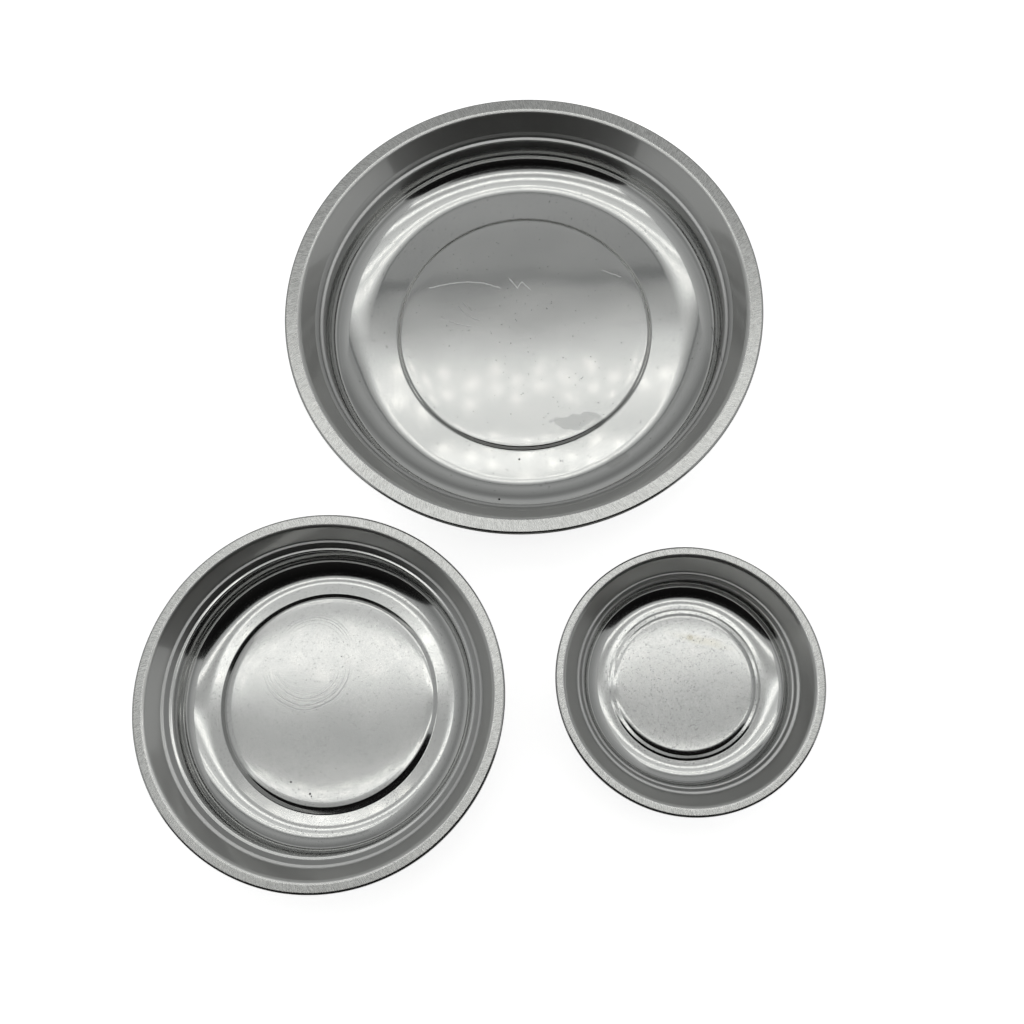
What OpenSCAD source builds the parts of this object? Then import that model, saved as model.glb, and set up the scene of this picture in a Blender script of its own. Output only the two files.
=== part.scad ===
// Set of three round magnetic parts dishes: pressed stainless bowls, each on
// a ferrite ring magnet held under the bowl in a rubber boot.
// Millimetres. Origin: axis of the large dish on the bench plane, +Z up,
// +X from the medium dish towards the small dish, -Y to the front.

/* [Sheet and layers] */
// Thickness of the stainless sheet
sheet_t = 0.5; // [0.4:0.05:0.55]
// Height of the lip turned down round each rim
lip_h = 1.5; // [1.2:0.1:2.5]
// Thickness of each adhesive film
film_t = 0.15; // [0.1:0.01:0.3]
// Thickness of the steel pole plates
plate_t = 1.5; // [1:0.1:2.5]
// Thickness of the rubber under each magnet
boot_floor_t = 1.2; // [0.8:0.1:2]

/* [Large dish] */
// Diameter over the rim
large_d = 150; // [148:0.5:154]
// Depth from the rim down to the floor
large_depth = 20.2; // [19:0.1:26]
// Width of the flat rim band
large_rim_w = 4.7; // [4:0.1:5.2]
// Depth from the rim down to the foot of the upper wall
large_upper_depth = 5.6; // [5:0.1:6.5]
// How far the floor bends in from the wall before it lies flat
large_foot_run = 7.0; // [6.8:0.1:8]
// How far the foot of the wall stands above the floor
large_foot_rise = 4.5; // [3.8:0.1:4.6]
// Radius of the raised centre panel
large_panel_r = 41.05; // [40.6:0.05:42]
// Height of the raised centre panel above the floor
large_panel_h = 1.0; // [0.8:0.05:1.2]
// Diameter of the ring magnet
large_magnet_d = 75; // [66:0.5:75]
// Diameter of the hole in the ring magnet
large_magnet_hole_d = 32; // [20:0.5:40]
// Thickness of the ring magnet
large_magnet_t = 10; // [8:0.5:12]

/* [Medium dish] */
// Diameter over the rim
medium_d = 108; // [107:0.5:112]
// Depth from the rim down to the floor
medium_depth = 16.2; // [15:0.1:22]
// Width of the flat rim band
medium_rim_w = 3.4; // [3:0.1:3.8]
// Depth from the rim down to the foot of the upper wall
medium_upper_depth = 4.5; // [4:0.1:5]
// How far the floor bends in from the wall before it lies flat
medium_foot_run = 4.5; // [4.5:0.1:5]
// How far the foot of the wall stands above the floor
medium_foot_rise = 3.0; // [2.6:0.1:3.1]
// Radius of the raised centre panel
medium_panel_r = 29.8; // [29.8:0.1:30.4]
// Height of the raised centre panel above the floor
medium_panel_h = 0.85; // [0.7:0.05:1]
// Diameter of the ring magnet
medium_magnet_d = 55; // [48:0.5:55]
// Diameter of the hole in the ring magnet
medium_magnet_hole_d = 25; // [16:0.5:30]
// Thickness of the ring magnet
medium_magnet_t = 9; // [7:0.5:11]

/* [Small dish] */
// Diameter over the rim
small_d = 77.4; // [77:0.2:80]
// Depth from the rim down to the floor
small_depth = 14.3; // [13.5:0.1:19]
// Width of the flat rim band
small_rim_w = 2.8; // [2.6:0.1:3.2]
// Depth from the rim down to the foot of the upper wall
small_upper_depth = 5.6; // [5.2:0.1:6]
// How far the floor bends in from the wall before it lies flat
small_foot_run = 3.7; // [3.6:0.1:3.9]
// How far the foot of the wall stands above the floor
small_foot_rise = 1.7; // [1.5:0.05:1.8]
// Radius of the raised centre panel
small_panel_r = 20.2; // [20.1:0.1:20.4]
// Height of the raised centre panel above the floor
small_panel_h = 0.6; // [0.5:0.05:0.7]
// Diameter of the ring magnet
small_magnet_d = 35; // [30:0.5:35]
// Diameter of the hole in the ring magnet
small_magnet_hole_d = 15; // [10:0.5:20]
// Thickness of the ring magnet
small_magnet_t = 7.5; // [6:0.5:10]

/* [Layout on the bench] */
// How far the medium dish stands to the left of the large dish's axis
medium_left = 64.8; // [62:0.1:75]
// How far the small dish stands to the right of the large dish's axis
small_right = 42.4; // [42:0.1:70]
// How far the two lesser dishes stand in front of the large dish's axis
row_front = 118.3; // [118:0.1:130]

/* [Hidden] */

$fn = 144;

steel = [0.78, 0.79, 0.80];
zinc = [0.62, 0.64, 0.68];
ferrite = [0.20, 0.20, 0.21];
film = [0.86, 0.80, 0.62];
rubber = [0.07, 0.07, 0.08];

large_at = [0, 0, 0];
medium_at = [-medium_left, -row_front, 0];
small_at = [small_right, -row_front, 0];

// Shared by all three dishes
lip_bend = 0.65;      // outer edge of the rim band
band_bend = 1.65;     // inner edge of the rim band
film_inset = 1;       // each film stops this far short of the magnet's edges
magnet_chamfer = 0.5;
boot_edge_r = 1.0;

// The pressed shape of each dish, from the rim to the centre:
// upper: upper wall, [run in, drop, bend at its foot];
// ledge: steps below it, rows of [run in, drop, bend at the step's end];
// wall_in: how far the lower wall leans in;
// foot: [run in, rise, bend at the wall, bend at the floor];
// steps: from the floor up to the panel, rows of [run in, rise, bend at the
//     step's start], the rises adding up to the panel's height;
// panel_bend: bend at the edge of the panel.
large_upper = [8.6, large_upper_depth, 1.5];
large_ledge = [[0.9, 0.75, 0.8], [0.4, 0.55, 0.55], [1.1, 0.3, 0.6]];
large_wall_in = 0.6;
large_foot = [large_foot_run, large_foot_rise, 5.4, 17];
large_steps = [[1.1, large_panel_h, 1.2]];
large_panel_bend = 1.2;
large_boot_wall = 2.5;

medium_upper = [6.7, medium_upper_depth, 0.8];
medium_ledge = [[0.9, 0.22, 0.65], [1.3, 1.08, 0.55], [1.05, 0.25, 0.6]];
medium_wall_in = 0.5;
medium_foot = [medium_foot_run, medium_foot_rise, 4.2, 10.3];
medium_top_rise = 0.126;
medium_steps = [
    [1.6, medium_panel_h - medium_top_rise, 0.9],
    [1.6, medium_top_rise, 3]
];
medium_panel_bend = 6;
medium_boot_wall = 2;

small_upper = [6.3, small_upper_depth, 0.7];
small_ledge = [[0.9, 0.2, 0.65], [0.55, 0.95, 0.55], [0.8, 0.2, 0.6]];
small_wall_in = 0.5;
small_foot = [small_foot_run, small_foot_rise, 2.2, 10.7];
small_low_rise = 0.2;
small_mid_rise = 0.1;
small_steps = [
    [0.65, small_low_rise, 0.7],
    [0.9, small_mid_rise, 0.7],
    [1, small_panel_h - small_low_rise - small_mid_rise, 0.8]
];
small_panel_bend = 4;
small_boot_wall = 1.8;

// Heights over the bench of the pole plate's underside, and of the underside
// of the raised panel, which is also the top of the boot.
function plate_z(magnet_t) = boot_floor_t + magnet_t + film_t;
function seat_z(magnet_t) = plate_z(magnet_t) + plate_t + film_t;

// Bends are this much full, so that each meets the straight runs beside it in
// a crossing and not in a bare touch.
hair = 0.0005;

// A turned outline is a list of [radius, height, bend radius], run from the
// rim's lip to the axis. Left of the run is the underside of the sheet.
function place(outline, i) = [outline[i][0], outline[i][1]];
function bend_r(outline, i) = outline[i][2];
function left_of(heading) = [-heading[1], heading[0]];

// Unit vector from corner i to the next.
function run(outline, i) =
    let (span = place(outline, i + 1) - place(outline, i))
    span / norm(span);

// Angle turned at corner i, positive to the left.
function turn(outline, i) =
    let (before = run(outline, i - 1), after = run(outline, i))
    atan2(before[0] * after[1] - before[1] * after[0], before * after);

function setback(outline, i) = bend_r(outline, i) * tan(abs(turn(outline, i)) / 2);
function bend_start(outline, i) =
    place(outline, i) - run(outline, i - 1) * setback(outline, i);
function bend_end(outline, i) =
    place(outline, i) + run(outline, i) * setback(outline, i);
function bend_centre(outline, i) =
    bend_start(outline, i)
    + sign(turn(outline, i)) * bend_r(outline, i) * left_of(run(outline, i - 1));

// The same outline moved to the left, its bend radii changed to suit.
function shifted_end(outline, i, heading, shift) =
    concat(place(outline, i) + shift * left_of(heading), [0]);
function shifted_bend(outline, i, shift) =
    let (before = left_of(run(outline, i - 1)), after = left_of(run(outline, i)))
    concat(place(outline, i) + shift * (before + after) / (1 + before * after),
        [bend_r(outline, i) - shift * sign(turn(outline, i))]);
function shifted(outline, shift) =
    let (last = len(outline) - 1)
    concat([shifted_end(outline, 0, run(outline, 0), shift)],
        [for (i = [1 : last - 1]) shifted_bend(outline, i, shift)],
        [shifted_end(outline, last, run(outline, last - 1), shift)]);

// The disc of one hollow bend, kept to a little over the angle it fills.
module bend_sector(outline, i) {
    full_r = bend_r(outline, i) + hair;
    // Clears the angle at which the fuller disc crosses the straight runs.
    spare = 1.5 * acos(bend_r(outline, i) / full_r) + 0.2;
    centre = bend_centre(outline, i);
    spoke = bend_start(outline, i) - centre;
    start_angle = atan2(spoke[1], spoke[0]) + spare;
    end_angle = atan2(spoke[1], spoke[0]) + turn(outline, i) - spare;
    mid_angle = (start_angle + end_angle) / 2;
    translate(centre) intersection() {
        circle(r = full_r);
        polygon(concat([[0, 0]], [
            for (angle = [start_angle, mid_angle, end_angle])
                2 * full_r * [cos(angle), sin(angle)]
        ]));
    }
}

// All that lies below an outline, down to the level low.
module below(outline, low) {
    last = len(outline) - 1;
    difference() {
        union() {
            polygon(concat(
                [place(outline, 0)],
                [for (i = [1 : last - 1]) each [bend_start(outline, i), bend_end(outline, i)]],
                [place(outline, last), [outline[last][0], low], [outline[0][0], low]]
            ));
            for (i = [1 : last - 1]) if (turn(outline, i) > 0)
                translate(bend_centre(outline, i)) circle(r = bend_r(outline, i) + hair);
        }
        for (i = [1 : last - 1]) if (turn(outline, i) < 0) bend_sector(outline, i);
    }
}

// [Run in, drop or rise] summed over the rows of steps up to and with row i.
function travel(steps, i) =
    i < 0 ? [0, 0] : [steps[i][0], steps[i][1]] + travel(steps, i - 1);

// A pressed dish: turned-down lip, flat rim band, sloping upper wall, small
// ledge, steep lower wall, a foot that sweeps into a flat floor, and a raised
// centre panel whose underside lies at the height seat.
module dish(rim_d, seat, rim_w, depth, upper, ledge, wall_in, foot, steps, panel_r, panel_bend) {
    rim_r = rim_d / 2;
    ledge_r = rim_r - upper[0];
    wall_r = ledge_r - travel(ledge, len(ledge) - 1)[0] - wall_in;
    climb = travel(steps, len(steps) - 1);
    panel_z = -depth + climb[1];
    low = -depth - 12; // well under the dish
    // The upper face, with the top of the rim at height 0; it runs past the
    // lip's edge and past the axis, to be trimmed there.
    face = concat(
        [
            [rim_r, -lip_h - 1, 0],
            [rim_r, 0, lip_bend],
            [rim_r - rim_w, 0, band_bend],
            [ledge_r, -upper[1], upper[2]]
        ],
        [for (i = [0 : len(ledge) - 1]) let (gone = travel(ledge, i))
            [ledge_r - gone[0], -upper[1] - gone[1], ledge[i][2]]],
        [
            [wall_r, -depth + foot[1], foot[2]],
            [wall_r - foot[0], -depth, foot[3]]
        ],
        [for (i = [0 : len(steps) - 1]) let (gone = travel(steps, i - 1))
            [panel_r + climb[0] - gone[0], -depth + gone[1], steps[i][2]]],
        [
            [panel_r, panel_z, panel_bend],
            [-2, panel_z, 0]
        ]
    );
    translate([0, 0, seat + sheet_t - panel_z]) rotate_extrude() difference() {
        below(face, low);
        below(shifted(face, sheet_t), low - 1);
        // Trim at the axis
        translate([-3, low - 2]) square([3, 3 - low]);
        // Trim at the lip's lower edge
        translate([rim_r - 2, low - 2]) square([3, 2 - low - lip_h]);
    }
}

// A flat disc whose underside lies at height z.
module disc(radius, z, thickness) {
    translate([0, 0, z]) cylinder(r = radius, h = thickness);
}

// The film between the pole plate and the dish.
module plate_adhesive(magnet_d, magnet_t)
    disc(magnet_d / 2 - film_inset, plate_z(magnet_t) + plate_t, film_t);

// The steel plate over the magnet, as wide as the magnet.
module pole_plate(magnet_d, magnet_t)
    disc(magnet_d / 2, plate_z(magnet_t), plate_t);

// The ring of film between the magnet and the pole plate.
module magnet_adhesive(magnet_d, hole_d, magnet_t) {
    outer_r = magnet_d / 2 - film_inset;
    inner_r = hole_d / 2 + film_inset;
    translate([0, 0, boot_floor_t + magnet_t]) rotate_extrude()
        translate([inner_r, 0]) square([outer_r - inner_r, film_t]);
}

// A ferrite ring with its four edges chamfered, on the floor of the boot.
module ring_magnet(magnet_d, hole_d, magnet_t) {
    outer_r = magnet_d / 2;
    hole_r = hole_d / 2;
    cut = magnet_chamfer;
    translate([0, 0, boot_floor_t]) rotate_extrude() polygon([
        [hole_r + cut, 0], [outer_r - cut, 0],
        [outer_r, cut], [outer_r, magnet_t - cut],
        [outer_r - cut, magnet_t], [hole_r + cut, magnet_t],
        [hole_r, magnet_t - cut], [hole_r, cut]
    ]);
}

// A rubber boot: a shallow cup with a rounded lower edge and a flat base.
module boot(magnet_d, magnet_t, wall) {
    inner_r = magnet_d / 2;
    outer_r = inner_r + wall;
    height = seat_z(magnet_t);
    edge = boot_edge_r;
    rotate_extrude() difference() {
        union() {
            square([outer_r - edge, height]);
            translate([0, edge]) square([outer_r, height - edge]);
            translate([outer_r - edge, edge]) circle(r = edge);
        }
        translate([-1, boot_floor_t]) square([inner_r + 1, height]);
        // Keeps the outline to one side of the axis
        translate([-2 * outer_r, -edge]) square([2 * outer_r, height + 2 * edge]);
    }
}

module large_dish()
    color(steel) translate(large_at)
        dish(large_d, seat_z(large_magnet_t), large_rim_w, large_depth,
            large_upper, large_ledge, large_wall_in, large_foot,
            large_steps, large_panel_r, large_panel_bend);

module large_plate_adhesive()
    color(film) translate(large_at) plate_adhesive(large_magnet_d, large_magnet_t);

module large_pole_plate()
    color(zinc) translate(large_at) pole_plate(large_magnet_d, large_magnet_t);

module large_magnet_adhesive()
    color(film) translate(large_at)
        magnet_adhesive(large_magnet_d, large_magnet_hole_d, large_magnet_t);

module large_magnet()
    color(ferrite) translate(large_at)
        ring_magnet(large_magnet_d, large_magnet_hole_d, large_magnet_t);

module large_boot()
    color(rubber) translate(large_at) boot(large_magnet_d, large_magnet_t, large_boot_wall);

module medium_dish()
    color(steel) translate(medium_at)
        dish(medium_d, seat_z(medium_magnet_t), medium_rim_w, medium_depth,
            medium_upper, medium_ledge, medium_wall_in, medium_foot,
            medium_steps, medium_panel_r, medium_panel_bend);

module medium_plate_adhesive()
    color(film) translate(medium_at) plate_adhesive(medium_magnet_d, medium_magnet_t);

module medium_pole_plate()
    color(zinc) translate(medium_at) pole_plate(medium_magnet_d, medium_magnet_t);

module medium_magnet_adhesive()
    color(film) translate(medium_at)
        magnet_adhesive(medium_magnet_d, medium_magnet_hole_d, medium_magnet_t);

module medium_magnet()
    color(ferrite) translate(medium_at)
        ring_magnet(medium_magnet_d, medium_magnet_hole_d, medium_magnet_t);

module medium_boot()
    color(rubber) translate(medium_at) boot(medium_magnet_d, medium_magnet_t, medium_boot_wall);

module small_dish()
    color(steel) translate(small_at)
        dish(small_d, seat_z(small_magnet_t), small_rim_w, small_depth,
            small_upper, small_ledge, small_wall_in, small_foot,
            small_steps, small_panel_r, small_panel_bend);

module small_plate_adhesive()
    color(film) translate(small_at) plate_adhesive(small_magnet_d, small_magnet_t);

module small_pole_plate()
    color(zinc) translate(small_at) pole_plate(small_magnet_d, small_magnet_t);

module small_magnet_adhesive()
    color(film) translate(small_at)
        magnet_adhesive(small_magnet_d, small_magnet_hole_d, small_magnet_t);

module small_magnet()
    color(ferrite) translate(small_at)
        ring_magnet(small_magnet_d, small_magnet_hole_d, small_magnet_t);

module small_boot()
    color(rubber) translate(small_at) boot(small_magnet_d, small_magnet_t, small_boot_wall);

large_dish();
large_plate_adhesive();
large_pole_plate();
large_magnet_adhesive();
large_magnet();
large_boot();
medium_dish();
medium_plate_adhesive();
medium_pole_plate();
medium_magnet_adhesive();
medium_magnet();
medium_boot();
small_dish();
small_plate_adhesive();
small_pole_plate();
small_magnet_adhesive();
small_magnet();
small_boot();
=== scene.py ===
"""Three round magnetic parts dishes on a pale bench.

Z is up and the bench lies at z = 0. The large dish stands at the origin, the
medium one in front of it (-y) to the left (-x), the small one in front to the
right. Each is a pressed steel bowl on a rubber boot that holds a ring magnet.
The bowls and boots are turned here as fine meshes; the magnets, pole plates
and adhesive films keep their CAD meshes. Lengths are in mm up to the point
where a mesh or an object is placed.
"""

import math

import bpy
import numpy as np
from mathutils import Matrix, Vector, noise


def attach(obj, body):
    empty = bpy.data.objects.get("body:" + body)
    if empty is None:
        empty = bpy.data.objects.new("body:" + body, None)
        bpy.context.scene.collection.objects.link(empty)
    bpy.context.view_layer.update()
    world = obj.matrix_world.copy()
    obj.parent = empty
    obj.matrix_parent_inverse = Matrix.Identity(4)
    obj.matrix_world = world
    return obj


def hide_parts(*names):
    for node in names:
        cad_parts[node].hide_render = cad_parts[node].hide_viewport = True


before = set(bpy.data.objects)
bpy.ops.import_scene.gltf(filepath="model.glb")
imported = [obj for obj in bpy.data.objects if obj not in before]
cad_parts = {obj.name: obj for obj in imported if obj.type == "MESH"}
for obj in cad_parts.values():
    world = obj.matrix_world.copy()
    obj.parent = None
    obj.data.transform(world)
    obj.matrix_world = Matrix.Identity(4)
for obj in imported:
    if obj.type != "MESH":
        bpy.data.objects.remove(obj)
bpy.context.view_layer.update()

MM = 0.001
scene = bpy.context.scene
coll = scene.collection

# -------------------------------------------------------------- dimensions

SHEET = 0.5     # thickness of the bowl steel
LIP = 1.5       # how far the lip hangs below the rim
FILM = 0.15     # each of the two adhesive films
PLATE = 1.5     # pole plate
FLOOR = 1.2     # floor of the boot

# face: upper face of the sheet from the lip to the axis, as corners
#       (radius, depth below the rim, bend radius)
# at: dish axis (x, y)     segments: steps round the bowl
# seed, wave: noise seed and height of the sheet's waviness
# crown: (radius of its level top, height) of the slight rise of the panel
DISHES = {
    "large": dict(
        at=(0.0, 0.0), magnet_r=37.5, magnet_h=10.0, boot_wall=2.5, segments=512,
        seed=2.3, wave=0.060, crown=(38.0, 0.05),
        face=[
            (75.0, LIP, 0), (75.0, 0, 0.65), (70.3, 0, 1.65),
            (66.4, 5.6, 1.5), (65.5, 6.35, 0.8), (65.1, 6.9, 0.55), (64.0, 7.2, 0.6),
            (63.4, 15.7, 5.4), (56.4, 20.2, 17.0),
            (42.15, 20.2, 1.2), (41.05, 19.2, 1.2), (0, 19.2, 0)]),
    "medium": dict(
        at=(-64.8, -118.3), magnet_r=27.5, magnet_h=9.0, boot_wall=2.0, segments=448,
        seed=5.9, wave=0.035, crown=(25.0, 0.10),
        face=[
            (54.0, LIP, 0), (54.0, 0, 0.65), (50.6, 0, 1.65),
            (47.3, 4.5, 0.8), (46.4, 4.72, 0.65), (45.1, 5.8, 0.55), (44.05, 6.05, 0.6),
            (43.55, 13.2, 4.2), (39.05, 16.2, 10.3),
            (33.0, 16.2, 0.9), (31.4, 15.476, 3.0), (29.8, 15.35, 6.0), (0, 15.35, 0)]),
    "small": dict(
        at=(42.4, -118.3), magnet_r=17.5, magnet_h=7.5, boot_wall=1.8, segments=384,
        seed=11.4, wave=0.020, crown=(15.5, 0.10),
        face=[
            (38.7, LIP, 0), (38.7, 0, 0.65), (35.9, 0, 1.65),
            (32.4, 5.6, 0.7), (31.5, 5.8, 0.65), (30.95, 6.75, 0.55), (30.15, 6.95, 0.6),
            (29.65, 12.6, 2.2), (25.95, 14.3, 10.7),
            (22.75, 14.3, 0.7), (22.1, 14.1, 0.7), (21.2, 14.0, 0.8), (20.2, 13.7, 4.0),
            (0, 13.7, 0)]),
}
for dish in DISHES.values():
    dish["rim_r"] = dish["face"][0][0]
    dish["panel_r"] = dish["face"][-2][0]
    dish["boot_r"] = dish["magnet_r"] + dish["boot_wall"]
    # the bowl's centre panel rests on the boot at this height
    dish["seat_z"] = FLOOR + dish["magnet_h"] + PLATE + 2 * FILM
    dish["rim_z"] = dish["seat_z"] + SHEET + dish["face"][-1][1]

# ---------------------------------------------------------------- outlines
# An outline is a list of corners (r, z, bend radius).


def point(corner):
    return np.array(corner[:2], float)


def left_of(vector):
    return np.array([-vector[1], vector[0]])


def heading(outline, i):
    """Unit vector of the straight run that starts at corner i."""
    step = point(outline[i + 1]) - point(outline[i])
    return step / np.linalg.norm(step)


def turn_at(outline, i):
    before, after = heading(outline, i - 1), heading(outline, i)
    return math.atan2(before[0] * after[1] - before[1] * after[0], before @ after)


def offset_outline(outline, dist):
    """The outline moved to its left by dist, its bends kept concentric."""
    last = len(outline) - 1
    moved = []
    for i, corner in enumerate(outline):
        if i in (0, last):
            q = point(corner) + dist * left_of(heading(outline, min(i, last - 1)))
            bend = 0.0
        else:
            before = left_of(heading(outline, i - 1))
            after = left_of(heading(outline, i))
            q = point(corner) + dist * (before + after) / (1 + before @ after)
            bend = corner[2] - dist * math.copysign(1, turn_at(outline, i))
        moved.append((q[0], q[1], bend))
    return moved


def line_points(start, end, step=2.2):
    """Points along a straight run, close together at both ends."""
    length = float(np.linalg.norm(end - start))
    head = [0.0] + [s for s in (0.05, 0.16, 0.4, 0.9) if s < length * 0.45]
    inner = length - 2 * head[-1]
    count = max(1, int(math.ceil(inner / step)))
    middle = [head[-1] + inner * j / count for j in range(1, count)]
    tail = [length - s for s in reversed(head)]
    return [start + (end - start) * (s / length) for s in head + middle + tail]


def trace(outline, arc_step=0.22, min_steps=6):
    """The outline as closely spaced points, its bends as true arcs."""
    points = []
    at = point(outline[0])
    last = len(outline) - 1
    for i in range(1, last + 1):
        start = point(outline[i])
        if i < last:
            turn, bend = turn_at(outline, i), outline[i][2]
            start = start - heading(outline, i - 1) * (bend * math.tan(abs(turn) / 2))
        if np.linalg.norm(start - at) > 1e-6:
            straight = line_points(at, start)
            points += straight[1:] if points else straight
        if i < last:
            side = math.copysign(1, turn)
            centre = start + side * bend * left_of(heading(outline, i - 1))
            spoke = start - centre
            steps = max(min_steps, int(abs(turn) * bend / arc_step))
            for j in range(1, steps + 1):
                a = turn * j / steps
                rotation = np.array([[math.cos(a), -math.sin(a)],
                                     [math.sin(a), math.cos(a)]])
                points.append(centre + rotation @ spoke)
            at = points[-1]
    return points


def turned(name, rows, segments, at, base_z, wave=None, attributes=None):
    """A closed body of revolution with the section rows, a loop of (r, z).

    Rows on the axis become single points. wave(x, y, z) gives a shift;
    attributes maps a name to one value per row.
    """
    rows = np.array(rows, float)
    angles = np.linspace(0, 2 * math.pi, segments, endpoint=False)
    verts, rings, row_of = [], [], []
    for j, (r, z) in enumerate(rows):
        if r < 1e-9:
            rings.append([len(verts)])
            verts.append((0.0, 0.0, z))
            row_of.append(j)
        else:
            rings.append(list(range(len(verts), len(verts) + segments)))
            verts += [(r * math.cos(a), r * math.sin(a), z) for a in angles]
            row_of += [j] * segments
    faces = []
    for j, a in enumerate(rings):
        b = rings[(j + 1) % len(rings)]
        if len(a) == 1 and len(b) == 1:
            continue
        for k in range(segments):
            k2 = (k + 1) % segments
            if len(a) == 1:
                faces.append((a[0], b[k2], b[k]))
            elif len(b) == 1:
                faces.append((a[k], a[k2], b[0]))
            else:
                faces.append((a[k], a[k2], b[k2], b[k]))
    verts = np.array(verts)
    if wave:
        verts = np.array([v + wave(v[0], v[1], v[2]) for v in verts])
    mesh = bpy.data.meshes.new(name)
    mesh.from_pydata([tuple(v * MM) for v in verts], [], faces)
    mesh.polygons.foreach_set("use_smooth", [True] * len(mesh.polygons))
    row_of = np.array(row_of)
    for key, values in (attributes or {}).items():
        layer = mesh.attributes.new(key, "FLOAT", "POINT")
        layer.data.foreach_set("value", np.array(values, np.float32)[row_of])
    mesh.update()
    obj = bpy.data.objects.new(name, mesh)
    obj.location = (at[0] * MM, at[1] * MM, base_z * MM)
    coll.objects.link(obj)
    return obj


# ------------------------------------------------------------ shader helper


class Nodes:
    """A new material (or world) and short calls that add nodes to its tree."""

    def __init__(self, name, world=False):
        self.owner = (bpy.data.worlds if world else bpy.data.materials).new(name)
        self.owner.use_nodes = True
        self.tree = self.owner.node_tree
        self.tree.nodes.clear()
        self.out = self.tree.nodes.new(
            "ShaderNodeOutputWorld" if world else "ShaderNodeOutputMaterial")

    def put(self, socket, value):
        """Link a socket or set a value; None leaves the default."""
        if isinstance(value, bpy.types.NodeSocket):
            self.tree.links.new(value, socket)
        elif value is not None:
            if socket.type == "RGBA" and len(value) == 3:
                value = (*value, 1.0)
            socket.default_value = value

    def node(self, kind, inputs=None, **settings):
        """Add a node; inputs maps a socket's name or index to its value."""
        node = self.tree.nodes.new(kind)
        for key, value in settings.items():
            setattr(node, key, value)
        for key, value in (inputs or {}).items():
            self.put(node.inputs[key], value)
        return node

    def math(self, op, a, b=None, c=None, clamp=False):
        return self.node("ShaderNodeMath", {0: a, 1: b, 2: c},
                         operation=op, use_clamp=clamp).outputs[0]

    def add(self, a, b):
        return self.math("ADD", a, b)

    def sub(self, a, b):
        return self.math("SUBTRACT", a, b)

    def mul(self, a, b):
        return self.math("MULTIPLY", a, b)

    def swing(self, x, amount):
        """A 0..1 value turned into a swing round zero."""
        return self.mul(self.sub(x, 0.5), amount)

    def vmath(self, op, a, b=None):
        second = "Scale" if op == "SCALE" else 1
        node = self.node("ShaderNodeVectorMath", {0: a, second: b}, operation=op)
        return node.outputs[1 if op in ("LENGTH", "DOT_PRODUCT") else 0]

    def length(self, v):
        return self.vmath("LENGTH", v)

    def dot(self, a, b):
        return self.vmath("DOT_PRODUCT", a, b)

    def xyz(self, v):
        return self.node("ShaderNodeSeparateXYZ", {0: v}).outputs

    def vec(self, x, y, z=0.0):
        return self.node("ShaderNodeCombineXYZ", {0: x, 1: y, 2: z}).outputs[0]

    def circle(self, angle, z):
        """A point on the unit circle, so that noise closes round the dish."""
        return self.vec(self.math("COSINE", angle), self.math("SINE", angle), z)

    def ramp(self, x, zero, one, low=0.0, high=1.0, smooth=True):
        """low where x is zero, high where x is one."""
        return self.node("ShaderNodeMapRange", {0: x, 1: zero, 2: one, 3: low, 4: high},
                         interpolation_type="SMOOTHSTEP" if smooth else "LINEAR",
                         clamp=True).outputs[0]

    def band(self, x, rise, fall):
        """1 inside a band of x; each side is (x where 0, x where 1)."""
        return self.mul(self.ramp(x, *rise), self.ramp(x, *fall))

    def noise(self, vector, scale=1.0, detail=2.0, rough=0.5, out=0):
        return self.node("ShaderNodeTexNoise", {
            "Vector": vector, "Scale": scale, "Detail": detail,
            "Roughness": rough}).outputs[out]

    def mix(self, factor, a, b):
        return self.node("ShaderNodeMix", {0: factor, 2: a, 3: b},
                         data_type="FLOAT").outputs[0]

    def mix_colour(self, factor, a, b):
        return self.node("ShaderNodeMix", {0: factor, 6: a, 7: b},
                         data_type="RGBA").outputs[2]

    def layered(self, value, *layers):
        """value overlaid by each (mask, value) in turn."""
        for mask, over in layers:
            value = self.mix(mask, value, over)
        return value

    def attribute(self, name):
        return self.node("ShaderNodeAttribute", attribute_type="GEOMETRY",
                         attribute_name=name).outputs["Fac"]

    def object_mm(self):
        """Object coordinates in mm; on bowls and boots the axis is x = y = 0."""
        return self.vmath("SCALE", self.node("ShaderNodeTexCoord").outputs["Object"], 1000.0)

    def bump(self, height, distance):
        return self.node("ShaderNodeBump", {
            "Height": height, "Strength": 1.0, "Distance": distance}).outputs[0]

    def principled(self, colour, metallic, rough, normal):
        return self.node("ShaderNodeBsdfPrincipled", {
            "Base Color": colour, "Metallic": metallic, "Roughness": rough,
            "Normal": normal}).outputs[0]

    def emission(self, colour, strength):
        return self.node("ShaderNodeEmission", {
            "Color": colour, "Strength": strength}).outputs[0]

    def surface(self, shader):
        self.tree.links.new(shader, self.out.inputs["Surface"])
        return self.owner


# ------------------------------------------------------------ wear on steel, with painted glints


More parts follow.
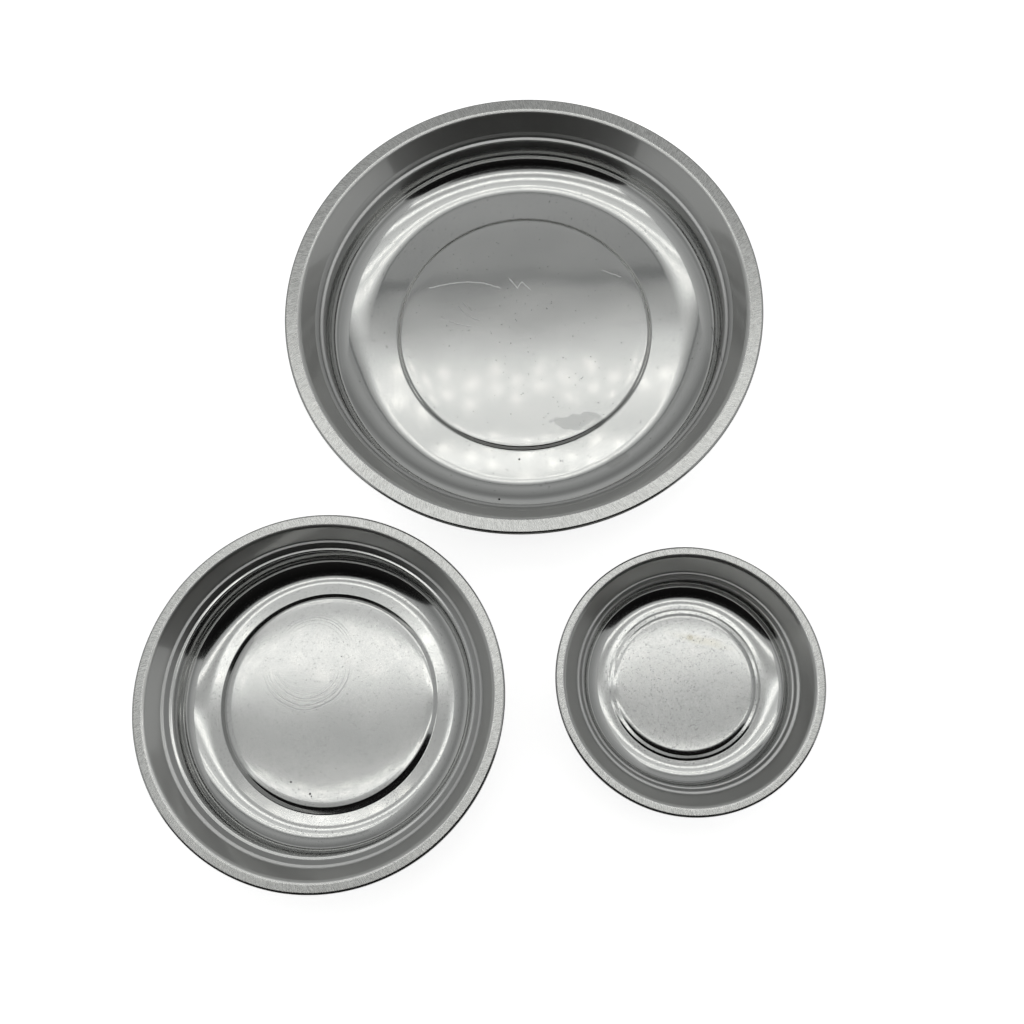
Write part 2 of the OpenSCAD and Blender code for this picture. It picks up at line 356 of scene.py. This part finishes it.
class Marks:
    """Wear on the upper face of one dish, in mm from its axis; the pale tone of its scratches
    is a painted glint.

    depth is how far a mark sinks the bump height, cover how strongly its
    tone hides the steel, rough what it adds to the roughness.
    """

    def __init__(self, n, p, plane, radius, colour, fine, inside):
        self.n, self.p, self.plane, self.radius = n, p, plane, radius
        self.colour, self.fine, self.inside = colour, fine, inside
        self.height, self.rough = 0.0, 0.0
        # the plane with a small jitter, for ragged edges
        jitter = n.vmath("SUBTRACT", n.noise(p, scale=0.6, out=1), (0.5, 0.5, 0.5))
        jitter = n.vmath("MULTIPLY", n.vmath("SCALE", jitter, 0.8), (1.0, 1.0, 0.0))
        self.ragged = n.vmath("ADD", plane, jitter)

    def apply(self, mask, depth, tone, cover, rough):
        n = self.n
        self.height = n.sub(self.height, n.mul(mask, depth))
        self.rough = n.add(self.rough, n.mul(mask, rough))
        self.colour = n.mix_colour(n.mul(mask, cover), self.colour, tone)

    def within(self, zero, one):
        """Mask round the axis: 0 from radius zero outward, 1 inside radius one."""
        return self.n.ramp(self.radius, zero, one)

    def offset(self, plane, x, y):
        return self.n.vmath("SUBTRACT", plane, (x, y, 0.0))

    def to_segment(self, a, b):
        """Distance from the ragged plane to the segment a-b."""
        n = self.n
        along = (b[0] - a[0], b[1] - a[1], 0.0)
        gap = self.offset(self.ragged, *a)
        share = n.math("DIVIDE", n.dot(gap, along), along[0] ** 2 + along[1] ** 2, clamp=True)
        return n.length(n.vmath("SUBTRACT", gap, n.vmath("SCALE", along, share)))

    def line(self, points, width, depth=0.004, tone=(0.95, 0.95, 0.95), cover=0.8):
        """A scratch along the points, broken up by the grain; its default pale tone is a
        painted glint on the real scratch.
        """
        n = self.n
        for a, b in zip(points, points[1:]):
            near = n.ramp(self.to_segment(a, b), width, 0.0)
            mask = n.mul(n.mul(near, self.inside), n.ramp(self.fine, 0.30, 0.48))
            self.apply(mask, depth, tone, cover, rough=0.25)

    def speck(self, x, y, size):
        n = self.n
        dist = n.length(self.offset(self.ragged, x, y))
        mask = n.mul(n.ramp(dist, size, size * 0.55), self.inside)
        self.apply(mask, depth=0.0, tone=(0.03, 0.03, 0.03), cover=0.95, rough=0.4)

    def smear(self, x, y, half_size, tone, cover, rough, edge, turn=0.0):
        """A lumpy oval stain; edge is the softness of its outline."""
        n = self.n
        (half_u, half_v), off = half_size, self.offset(self.ragged, x, y)
        c, s = math.cos(turn), math.sin(turn)
        u = n.dot(off, (c / half_u, s / half_u, 0.0))
        v = n.dot(off, (-s / half_v, c / half_v, 0.0))
        dist = n.length(n.vec(u, v))
        lump = n.noise(self.p, scale=0.22)
        dist = n.add(dist, n.swing(lump, 1.3))
        mask = n.mul(n.ramp(dist, 1.0 + edge, 1.0 - edge), self.inside)
        self.apply(mask, 0.0, tone, cover, rough)

    def swirl(self, x, y, radii, middle, half_arc, depth, seed, cover, tone=(0.9, 0.9, 0.9)):
        """Rings rubbed round (x, y) between two radii, strongest round the
        angle middle; both angles in degrees."""
        n = self.n
        middle, half_arc = math.radians(middle), math.radians(half_arc)
        inner, outer = radii
        off = self.offset(self.plane, x, y)
        dist = n.length(off)
        off_xyz = n.xyz(off)
        angle = n.math("ARCTAN2", off_xyz[1], off_xyz[0])
        away = n.math("WRAP", n.sub(angle, middle), math.pi, -math.pi)
        gate = n.ramp(n.math("ABSOLUTE", away), half_arc, half_arc * 0.45)
        drift = n.noise(n.circle(angle, seed), scale=1.1, detail=1.0)
        across = n.mul(n.add(dist, n.mul(drift, 1.6)), 2.4)
        rings = n.noise(n.vec(across, seed), detail=3.0, rough=0.7)
        thin = n.band(rings, rise=(0.50, 0.56), fall=(0.66, 0.60))
        belt = n.band(dist, rise=(inner - 0.6, inner + 0.4), fall=(outer + 0.6, outer - 0.6))
        mask = n.mul(n.mul(thin, belt), n.mul(gate, self.inside))
        self.apply(mask, depth, tone, cover, rough=0.12)

    def hairlines(self, x, y, reach, angle, seed, depth, cover):
        """A round patch of fine parallel hairlines."""
        n = self.n
        c, s = math.cos(angle), math.sin(angle)
        along = n.dot(self.ragged, (c, s, 0.0))
        cross = n.dot(self.ragged, (-s, c, 0.0))
        streaks = n.noise(n.vec(n.mul(along, 0.05), n.mul(cross, 3.2), seed))
        thin = n.band(streaks, rise=(0.555, 0.58), fall=(0.62, 0.595))
        gate = n.ramp(n.length(self.offset(self.plane, x, y)), reach, reach * 0.5)
        mask = n.mul(n.mul(thin, gate), self.inside)
        self.apply(mask, depth, (0.9, 0.9, 0.9), cover, rough=0.04)

    def pits(self, scale, share, gate, grey=0.20, cover=0.6, reach=0.34):
        """Dots in the cells of a Voronoi pattern; a higher share keeps fewer."""
        n = self.n
        dist = n.node("ShaderNodeTexVoronoi", {
            "Vector": self.p, "Scale": scale, "Randomness": 1.0}, feature="F1").outputs[0]
        pick = n.noise(self.p, scale=scale * 0.7, detail=1.0)
        dots = n.mul(n.ramp(dist, reach, reach * 0.45), n.ramp(pick, share, share + 0.05))
        mask = n.mul(n.mul(dots, self.inside), gate)
        self.apply(mask, 0.0, (grey, grey, grey), cover, rough=0.1)


def marks_large(marks):
    # real scratches, their pale tone a painted glint
    marks.line([(-31.0, 17.4), (-24.0, 18.6), (-18.2, 18.8), (-12.0, 17.9), (-7.0, 15.6)],
               width=0.22)
    marks.line([(-3.7, 18.9), (-1.3, 15.4), (0.3, 17.5), (2.8, 14.4)], width=0.26)
    marks.line([(27.4, 20.1), (33.5, 17.1)], width=0.20, cover=0.5)
    # dark scratches left of the middle
    for points, width, cover in (
            ([(-24.7, 4.8), (-21.6, 3.2), (-17.4, 2.1)], 0.16, 0.45),
            ([(-21.5, 10.1), (-18.6, 6.4), (-14.4, 4.1)], 0.16, 0.45),
            ([(-20.2, 11.4), (-16.9, 8.1)], 0.14, 0.35)):
        marks.line(points, width, tone=(0.30, 0.30, 0.31), cover=cover)
    marks.smear(17.5, -33.6, half_size=(8.6, 2.7), tone=(0.42, 0.425, 0.42),
                cover=0.62, rough=0.03, turn=-0.03, edge=0.07)
    marks.smear(27.5, -47.0, half_size=(4.5, 1.8), tone=(0.45, 0.45, 0.44),
                cover=0.45, rough=0.05, turn=0.5, edge=0.2)
    marks.speck(-3.7, -45.0, size=0.42)
    marks.speck(-10.6, -58.6, size=0.50)
    # a dark streak on the right wall
    marks.line([(61.4, -4.4), (61.8, -12.0), (61.2, -21.0)], width=0.22,
               tone=(0.12, 0.12, 0.12), cover=0.7, depth=0.0)
    marks.hairlines(-6.0, -2.0, reach=38.0, angle=0.04, seed=3.1, depth=0.00022, cover=0.07)
    marks.hairlines(12.0, -14.0, reach=30.0, angle=1.2, seed=8.4, depth=0.00012, cover=0.04)
    marks.pits(scale=1.1, share=0.62, gate=marks.within(60.0, 55.0))


def marks_medium(marks):
    marks.swirl(-6.6, 11.4, radii=(8.6, 14.2), middle=262, half_arc=118,
                depth=0.0012, seed=1.7, cover=0.25)
    marks.swirl(-6.9, 11.0, radii=(9.6, 13.8), middle=285, half_arc=85,
                depth=0.0016, seed=6.2, tone=(0.26, 0.26, 0.27), cover=0.45)
    marks.swirl(-4.6, 13.5, radii=(9.0, 13.4), middle=80, half_arc=75,
                depth=0.0008, seed=9.4, tone=(0.30, 0.30, 0.30), cover=0.25)
    marks.hairlines(-7.0, 20.0, reach=17.0, angle=2.2, seed=2.2, depth=0.0006, cover=0.10)
    marks.hairlines(9.0, 18.0, reach=15.0, angle=0.9, seed=5.5, depth=0.0006, cover=0.10)
    marks.hairlines(14.0, 8.0, reach=20.0, angle=0.6, seed=7.7, depth=0.0003, cover=0.05)
    for x, y, size in ((-5.4, -26.9, 0.42), (-4.9, -27.7, 0.25),
                       (-11.1, -23.2, 0.34), (4.0, 13.0, 0.22)):
        marks.speck(x, y, size)
    marks.pits(scale=1.6, share=0.50, grey=0.26, gate=marks.within(43.0, 38.0))


def marks_small(marks):
    # two faint yellowish stains
    marks.smear(6.5, 12.4, half_size=(6.5, 1.2), tone=(0.70, 0.64, 0.46),
                cover=0.20, rough=0.03, turn=-0.30, edge=0.8)
    marks.smear(2.8, 13.6, half_size=(0.9, 0.9), tone=(0.50, 0.46, 0.33),
                cover=0.35, rough=0.05, edge=0.6)
    marks.hairlines(0.0, 0.0, reach=19.0, angle=1.9, seed=4.4, depth=0.0002, cover=0.05)
    floor = marks.within(28.0, 23.0)
    marks.pits(scale=1.4, share=0.44, cover=0.65, gate=floor, reach=0.31)
    marks.pits(scale=2.1, share=0.42, grey=0.28, cover=0.60, gate=floor, reach=0.31)


# --------------------------------------------------------------- materials

STEEL_DARK, STEEL_PALE = (0.60, 0.605, 0.60), (0.66, 0.66, 0.65)
RIM_DARK, RIM_PALE = (0.54, 0.54, 0.53), (0.76, 0.76, 0.75)
# painted shade: a grey mixed into the ledge's colour for the shade in the step of the wall
LEDGE_PAINTED_SHADE = (0.36, 0.36, 0.36)


def steel(size, add_marks, panel_r, ledge_r, rim_in, rim_out, panel_rough, sharp_share):
    """Drawn stainless steel: a broad and a sharp gloss lobe, mixed by zone.

    The zones of the upper face lie between the radii: the centre panel
    (panel_r), the ledge in the wall (ledge_r) and the rim band.
    """
    n = Nodes(f"steel_{size}")
    p = n.object_mm()
    x, y = n.xyz(p)[:2]
    plane = n.vec(x, y)
    r = n.length(plane)
    theta = n.math("ARCTAN2", y, x)
    run = n.attribute("run_mm")
    under = n.attribute("under")
    inside = n.sub(1.0, under)
    rim = n.mul(inside, n.band(r, rise=(rim_in - 0.25, rim_in + 0.25),
                               fall=(rim_out + 0.2, rim_out - 0.1)))
    panel = n.mul(inside, n.ramp(r, panel_r + 1.0, panel_r - 0.5))

    # drawing lines that run round the bowl and wander slowly
    wander = n.noise(n.circle(theta, n.mul(run, 0.02)), scale=1.4)
    lines = n.noise(n.vec(n.add(n.mul(run, 7.0), n.mul(wander, 2.0)), n.mul(theta, 3.0)),
                    detail=3.0, rough=0.65)
    fine = n.noise(p, scale=5.5, detail=3.0, rough=0.6)       # 0.2 mm grain
    even = n.ramp(r, ledge_r - 9.0, ledge_r - 6.0)            # smoother walls
    cloud = n.noise(p, scale=0.055, detail=3.0, rough=0.55)   # broad haze

    # short marks set across the rim band, stronger in patches
    rim_run = n.mul(theta, rim_out)
    slant = n.mul(n.add(rim_run, n.mul(run, 0.35)), 3.4)
    dash = n.noise(n.vec(slant, n.mul(run, 0.55), n.mul(run, 0.10)), detail=4.0, rough=0.7)
    patchy = n.noise(n.circle(theta, 0.0), scale=5.0, detail=3.0, rough=0.6)

    def zone(start, full):
        """From the ledge, by offsets to its radius, out to the rim band."""
        return n.mul(inside, n.band(r, rise=(ledge_r + start, ledge_r + full),
                                    fall=(rim_in + 0.2, rim_in - 0.6)))

    upper = zone(-0.2, 1.2)
    ledge = zone(-2.4, -1.4)
    steep = zone(-7.0, -4.5)

    # roughness of the two lobes and the share of the sharp one
    broad = n.layered(0.14, (panel, panel_rough), (ledge, 0.36), (upper, 0.38))
    broad = n.add(broad, n.swing(cloud, 0.08))
    broad = n.add(broad, n.mul(n.swing(fine, 0.06), n.sub(1.0, even)))
    broad = n.layered(broad, (rim, n.add(0.17, n.mul(dash, 0.22))),
                      (under, n.add(0.30, n.mul(cloud, 0.12))))
    grain = n.mul(n.mul(fine, 0.04), n.sub(1.0, even))
    sharp = n.mix(rim, n.add(n.mix(even, 0.055, 0.075), grain), 0.26)
    share = n.layered(0.60, (panel, sharp_share), (ledge, 0.10), (upper, 0.25),
                      (rim, 0.10), (under, 0.2))

    colour = n.mix_colour(cloud, STEEL_DARK, STEEL_PALE)
    # painted shade: the ledge's colour is darkened towards a grey, standing in for the shade
    # in its step
    colour = n.mix_colour(n.mul(ledge, 0.55), colour, LEDGE_PAINTED_SHADE)
    colour = n.mix_colour(n.mul(upper, 0.90), colour, STEEL_PALE)
    colour = n.mix_colour(rim, colour,
                          n.mix_colour(n.ramp(dash, 0.36, 0.66), RIM_DARK, RIM_PALE))

    # bump: faint on the sheet, almost none on the steep wall, strong on the rim
    height = n.add(n.mul(lines, 0.0004), n.mul(fine, 0.0005))
    height = n.mul(height, n.sub(1.0, n.mul(steep, 0.9)))
    rim_height = n.add(n.mul(dash, 0.013), n.mul(fine, 0.006))
    height = n.mix(rim, height, n.mul(rim_height, n.add(0.5, patchy)))

    marks = Marks(n, p, plane, r, colour, fine, inside)
    add_marks(marks)
    height = n.add(height, marks.height)
    broad = n.math("ADD", broad, marks.rough, clamp=True)
    normal = n.bump(height, distance=0.001)
    lobes = [n.principled(marks.colour, 1.0, rough, normal) for rough in (broad, sharp)]
    mixed = n.node("ShaderNodeMixShader", {0: share, 1: lobes[0], 2: lobes[1]})
    return n.surface(mixed.outputs[0])


STEEL = {
    "large": steel("large", marks_large, panel_r=40.5, ledge_r=65.6, rim_in=70.9,
                   rim_out=74.4, panel_rough=0.19, sharp_share=0.46),
    "medium": steel("medium", marks_medium, panel_r=29.6, ledge_r=47.0, rim_in=51.2,
                    rim_out=53.5, panel_rough=0.17, sharp_share=0.30),
    "small": steel("small", marks_small, panel_r=20.0, ledge_r=32.2, rim_in=36.4,
                   rim_out=38.2, panel_rough=0.17, sharp_share=0.12),
}


def simple(name, colour, second, metallic, rough, scale, bump):
    """One gloss lobe with a fine grain and two tones in broad patches."""
    n = Nodes(name)
    p = n.object_mm()
    grain = n.noise(p, scale=scale, detail=4.0, rough=0.6)
    patches = n.noise(p, scale=scale * 0.06, detail=3.0)
    tone = n.mix_colour(n.ramp(patches, 0.3, 0.7), colour, second)
    grain_rough = n.add(rough - 0.08, n.mul(grain, 0.16))
    return n.surface(n.principled(tone, metallic, grain_rough, n.bump(grain, bump)))


RUBBER = simple("boot_rubber", (0.018, 0.018, 0.019), (0.03, 0.03, 0.031),
                metallic=0.0, rough=0.62, scale=3.5, bump=0.00002)
FERRITE = simple("ferrite_grey", (0.045, 0.045, 0.048), (0.075, 0.073, 0.07),
                 metallic=0.0, rough=0.55, scale=6.0, bump=0.00003)
ZINC = simple("zinc_plate", (0.60, 0.62, 0.66), (0.70, 0.70, 0.72),
              metallic=1.0, rough=0.34, scale=1.2, bump=0.000006)
GLUE = simple("glue_film", (0.62, 0.52, 0.30), (0.72, 0.64, 0.42),
              metallic=0.0, rough=0.35, scale=0.8, bump=0.00001)

for size in DISHES:
    for part, material in (("plate_adhesive", GLUE), ("magnet_adhesive", GLUE),
                           ("pole_plate", ZINC), ("magnet", FERRITE)):
        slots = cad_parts[f"{size}_{part}"].data.materials
        slots.clear()
        slots.append(material)

# ------------------------------------------------------------------- bowls

EASE = 0.03     # rounding of the lip's cut edge


def two_octaves(x, y, seed):
    total = noise.noise(Vector((x, y, seed)))
    return total + 0.5 * noise.noise(Vector((x * 2.03, y * 2.03, seed + 7.7)))


def dish_wave(dish):
    """Small departures from a true turned form, as in pressed sheet."""
    seed, rim_r, panel_r = dish["seed"], dish["rim_r"], dish["panel_r"]
    crown_r, crown_h = dish["crown"]

    def shift(x, y, z):
        r = math.hypot(x, y)
        angle = math.atan2(y, x)

        def ring_noise(frequency, level):
            return noise.noise(Vector((frequency * math.cos(angle),
                                       frequency * math.sin(angle), level)))

        # ripples in the middle, a slow rise and fall towards the rim
        middle = max(0.0, min(1.0, (rim_r * 0.86 - r) / (rim_r * 0.12)))
        edge = max(0.0, (r - rim_r * 0.80) / (rim_r * 0.20))
        dz = dish["wave"] * two_octaves(x / 27.0, y / 27.0, seed) * middle
        dz += 0.10 * ring_noise(1.3, seed + 3.1) * edge
        if r < panel_r:
            t = max(0.0, (r - crown_r) / (panel_r - crown_r))
            dz += crown_h * (1.0 - t * t)
        dr = 0.05 * ring_noise(1.7, seed + 9.0 + z * 0.03) * min(1.0, r / rim_r)
        c, s = (x / r, y / r) if r > 1e-6 else (0.0, 0.0)
        return np.array((dr * c, dr * s, dz))
    return shift


def add_bowl(size, dish):
    face = [(r, -depth, bend) for r, depth, bend in dish["face"]]
    top = trace(face)
    low = trace(offset_outline(face, SHEET))
    # the cut edge of the lip, slightly eased
    edge = [(dish["rim_r"] - SHEET + 2 * EASE, -LIP - EASE),
            (dish["rim_r"] - 2 * EASE, -LIP - EASE)]
    top[0][1] += EASE
    low[0][1] += EASE
    rows = [tuple(q) for q in top + low[::-1]] + edge
    # run_mm: length along the section; under: 1 below the sheet and on its edge
    run = [0.0]
    for before, after in zip(rows, rows[1:]):
        run.append(run[-1] + math.dist(after, before))
    under = [0.0] * len(top) + [1.0] * (len(low) + len(edge))
    bowl = turned(f"{size}_bowl", rows, dish["segments"], dish["at"], dish["rim_z"],
                  dish_wave(dish), {"run_mm": run, "under": under})
    bowl.data.materials.append(STEEL[size])
    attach(bowl, size)
    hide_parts(f"{size}_dish")


for size, dish in DISHES.items():
    add_bowl(size, dish)

# ------------------------------------------------------------------- boots

BOOT_SEGMENTS = 192
FOOT_R = 1.0    # rounding of the bottom edge
# groove sections: (radius, height) from the groove's middle
SIDE_GROOVE = [(0, 0.6), (-0.08, 0.45), (-0.30, 0.25), (-0.36, 0),
               (-0.30, -0.25), (-0.08, -0.45), (0, -0.6)]
BASE_GROOVE = [(0.7, 0.0), (0.5, 0.25), (-0.5, 0.25), (-0.7, 0.0)]


def add_boot(size, dish):
    r, inner, top = dish["boot_r"], dish["magnet_r"], dish["seat_z"]
    # the cup's floor and inner wall, then over the top edge
    rows = [(0.0, FLOOR), (inner - 0.3, FLOOR), (inner - 0.02, FLOOR), (inner, FLOOR + 0.02),
            (inner, top - 0.03), (inner + 0.03, top),
            (r - 0.30, top), (r - 0.18, top - 0.03), (r - 0.08, top - 0.10), (r, top - 0.30)]
    # two shallow grooves round the side
    for height in (top * 0.55, top * 0.38):
        rows += [(r + dr, height + dz) for dr, dz in SIDE_GROOVE]
    rows += [(r - FOOT_R + math.cos(a) * FOOT_R, FOOT_R - math.sin(a) * FOOT_R)
             for a in np.linspace(0, math.pi / 2, 10)]
    # three ring grooves in the underside
    for groove_r in (r * 0.80, r * 0.60, r * 0.40):
        rows += [(groove_r + dr, dz) for dr, dz in BASE_GROOVE]
    rows += [(0.0, 0.0)]
    boot = turned(f"{size}_rubber_boot", rows[::-1], BOOT_SEGMENTS, dish["at"], 0.0)
    boot.data.materials.append(RUBBER)
    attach(boot, size)
    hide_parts(f"{size}_boot")


for size, dish in DISHES.items():
    add_boot(size, dish)

# ------------------------------------------------------------------- stage


def stage_mesh(name, verts, faces, material, seen=False):
    """A piece of the set; unless seen, it only lights and reflects."""
    mesh = bpy.data.meshes.new(name)
    mesh.from_pydata([tuple(c * MM for c in v) for v in verts], [], faces)
    mesh.materials.append(material)
    obj = bpy.data.objects.new(name, mesh)
    coll.objects.link(obj)
    obj.visible_camera = seen
    obj.visible_shadow = seen


def card(name, corners, material, seen=False):
    stage_mesh(name, corners, [(0, 1, 2, 3)], material, seen)


def glow(name, colour, strength):
    n = Nodes(name)
    return n.surface(n.emission(colour, strength))


def graded_glow(name, axis, stops, tint):
    """A glow that changes along one axis; stops are (mm, strength)."""
    n = Nodes(name)
    position = n.node("ShaderNodeNewGeometry").outputs["Position"]
    along = n.mul(n.xyz(position)["xyz".index(axis)], 1000.0)
    low, high = stops[0][0], stops[-1][0]
    peak = max(strength for _, strength in stops)
    ramp = n.node("ShaderNodeValToRGB")
    ramp.color_ramp.interpolation = "LINEAR"
    elements = ramp.color_ramp.elements
    while len(elements) > 1:
        elements.remove(elements[-1])
    for i, (place, strength) in enumerate(stops):
        share = (place - low) / (high - low)
        element = elements.new(share) if i else elements[0]
        element.position = share
        element.color = (strength / peak, strength / peak, strength / peak, 1.0)
    n.put(ramp.inputs[0], n.ramp(along, low, high, smooth=False))
    return n.surface(n.emission(tint, n.mul(n.xyz(ramp.outputs[0])[0], peak)))


def bench_white():
    """White to the eye, a plain mid-pale sheet to the metal above it."""
    n = Nodes("bench_white")
    eye = n.node("ShaderNodeLightPath").outputs["Is Camera Ray"]
    tone = n.mix(eye, 0.60, 0.86)
    diffuse = n.node("ShaderNodeBsdfDiffuse", {"Color": n.vec(tone, tone, tone)}).outputs[0]
    lift = n.emission((1.0, 1.0, 1.0), n.mul(eye, 0.84))
    return n.surface(n.node("ShaderNodeAddShader", {0: diffuse, 1: lift}).outputs[0])


BENCH_HALF, BENCH_Z = 4000.0, -0.05
card("bench", [(x, y, BENCH_Z) for x, y in (
    (-BENCH_HALF, -BENCH_HALF), (BENCH_HALF, -BENCH_HALF),
    (BENCH_HALF, BENCH_HALF), (-BENCH_HALF, BENCH_HALF))], bench_white(), seen=True)

# The tent is a box of glowing cards round the dishes, with a dark front.
TOP, BACK, FRONT, SIDE = 600, 338, -250, 345
BACK_SEAM, SIDE_SEAM = 24, 11   # heights of the dark strips under the ceiling

CEILING_GLOW = graded_glow("tent_ceiling", "y", [
    (FRONT, 0.50), (-200, 0.50), (-182, 0.80), (-170, 1.40), (-150, 1.40), (-138, 0.80),
    (-125, 0.60), (-80, 0.50), (-60, 0.55), (-48, 0.78), (-38, 1.00), (-26, 1.33),
    (-7, 1.45), (4, 1.30), (15, 1.00), (26, 0.74), (46, 0.68), (90, 0.82), (128, 0.80),
    (143, 1.05), (151, 1.35), (162, 1.43), (170, 1.10), (182, 0.88), (209, 0.98),
    (229, 1.18), (240, 1.15), (260, 1.02), (281, 0.72), (302, 0.52), (BACK, 0.38)],
    tint=(0.985, 1.0, 0.985))
BACK_GLOW = graded_glow("tent_wall", "z", [
    (0, 0.52), (120, 0.46), (175, 0.28), (225, 0.23), (300, 0.31), (400, 0.40),
    (470, 0.42), (505, 0.36), (TOP, 0.38)], tint=(0.985, 1.0, 0.99))
SIDE_GLOW = graded_glow("tent_side", "z", [
    (0, 0.52), (120, 0.46), (175, 0.30), (225, 0.27), (300, 0.34), (400, 0.41),
    (TOP, 0.55)], tint=(0.985, 1.0, 0.99))
SEAM = glow("tent_seam", (0.6, 0.68, 0.75), 0.06)
LAMP = glow("lamp_bead", (1.0, 0.975, 0.91), 4.0)
DARK = graded_glow("dark_card", "z", [
    (0, 0.03), (60, 0.014), (160, 0.008), (260, 0.004), (TOP, 0.004)],
    tint=(1.0, 0.98, 0.97))


def cross_wall(name, y, low, high, material):
    """An upright card across the tent."""
    card(name, [(-SIDE, y, low), (SIDE, y, low), (SIDE, y, high), (-SIDE, y, high)], material)


def side_wall(name, x, low, material):
    """An upright card along the tent, up to the ceiling."""
    card(name, [(x, FRONT, low), (x, BACK, low), (x, BACK, TOP), (x, FRONT, TOP)], material)


cross_wall("tent_back", BACK, 0, TOP - BACK_SEAM, BACK_GLOW)
cross_wall("tent_back_seam", BACK, TOP - BACK_SEAM, TOP, SEAM)
for side, sign in (("left", -1), ("right", 1)):
    side_wall(f"tent_{side}_seam", sign * (SIDE - 0.5), TOP - SIDE_SEAM, SEAM)
for side, sign in (("left", -1), ("right", 1)):
    side_wall(f"tent_{side}", sign * SIDE, 0, SIDE_GLOW)
card("tent_top", [(-SIDE, FRONT, TOP), (SIDE, FRONT, TOP), (SIDE, BACK, TOP),
                  (-SIDE, BACK, TOP)], CEILING_GLOW)

# Lamp strips under the ceiling: square beads, two to a column, staggered.
STRIP_YS = (231.5, 157.0, -10.0, -153.0)
BEAD_HALF = 3.5
BEAD_PITCH = 23
BEAD_Z = TOP - 2
BEAD_ROWS = ((17.0, -4.5), (6.0, -17.0))    # y in even and in odd columns


def add_strip(name, strip_y):
    verts = []
    for column, x in enumerate(range(-SIDE + 35, SIDE - 30, BEAD_PITCH)):
        for row_y in BEAD_ROWS[column % 2]:
            verts += [(x + sx * BEAD_HALF, strip_y + row_y + sy * BEAD_HALF, BEAD_Z)
                      for sx, sy in ((-1, -1), (1, -1), (1, 1), (-1, 1))]
    faces = [(b, b + 1, b + 2, b + 3) for b in range(0, len(verts), 4)]
    stage_mesh(name, verts, faces, LAMP)


for i, strip_y in enumerate(STRIP_YS):
    add_strip(f"lamp_beads_{i}", strip_y)

cross_wall("dark_front", FRONT, 0, TOP, DARK)

# the world: white to the camera, dim to everything else
room = Nodes("pale_room", world=True)
seen_by_camera = room.node("ShaderNodeLightPath").outputs["Is Camera Ray"]
room_strength = room.ramp(seen_by_camera, 0.0, 1.0, low=0.12, high=1.0, smooth=False)
scene.world = room.surface(room.node("ShaderNodeBackground", {
    "Color": (1, 1, 1), "Strength": room_strength}).outputs[0])

scene.view_settings.view_transform = "Standard"
scene.view_settings.look = "None"

# ------------------------------------------------------------------ camera

CAMERA_AT = Vector((2.144662 * MM, -152.705561 * MM, 322.319347 * MM))
CAMERA_RIGHT = Vector((0.998039, -0.046163, -0.042278))
CAMERA_UP = Vector((0.056131, 0.958939, 0.278002))     # squared up below

cam_data = bpy.data.cameras.new("camera")
cam_data.sensor_width = 36.0
cam_data.sensor_fit = "AUTO"
cam_data.lens = 35.9926172
cam = bpy.data.objects.new("camera", cam_data)
coll.objects.link(cam)
back = CAMERA_RIGHT.cross(CAMERA_UP).normalized()
up = back.cross(CAMERA_RIGHT).normalized()
cam.matrix_world = Matrix([
    (CAMERA_RIGHT[i], up[i], back[i], CAMERA_AT[i]) for i in range(3)] + [(0, 0, 0, 1)])
scene.camera = cam
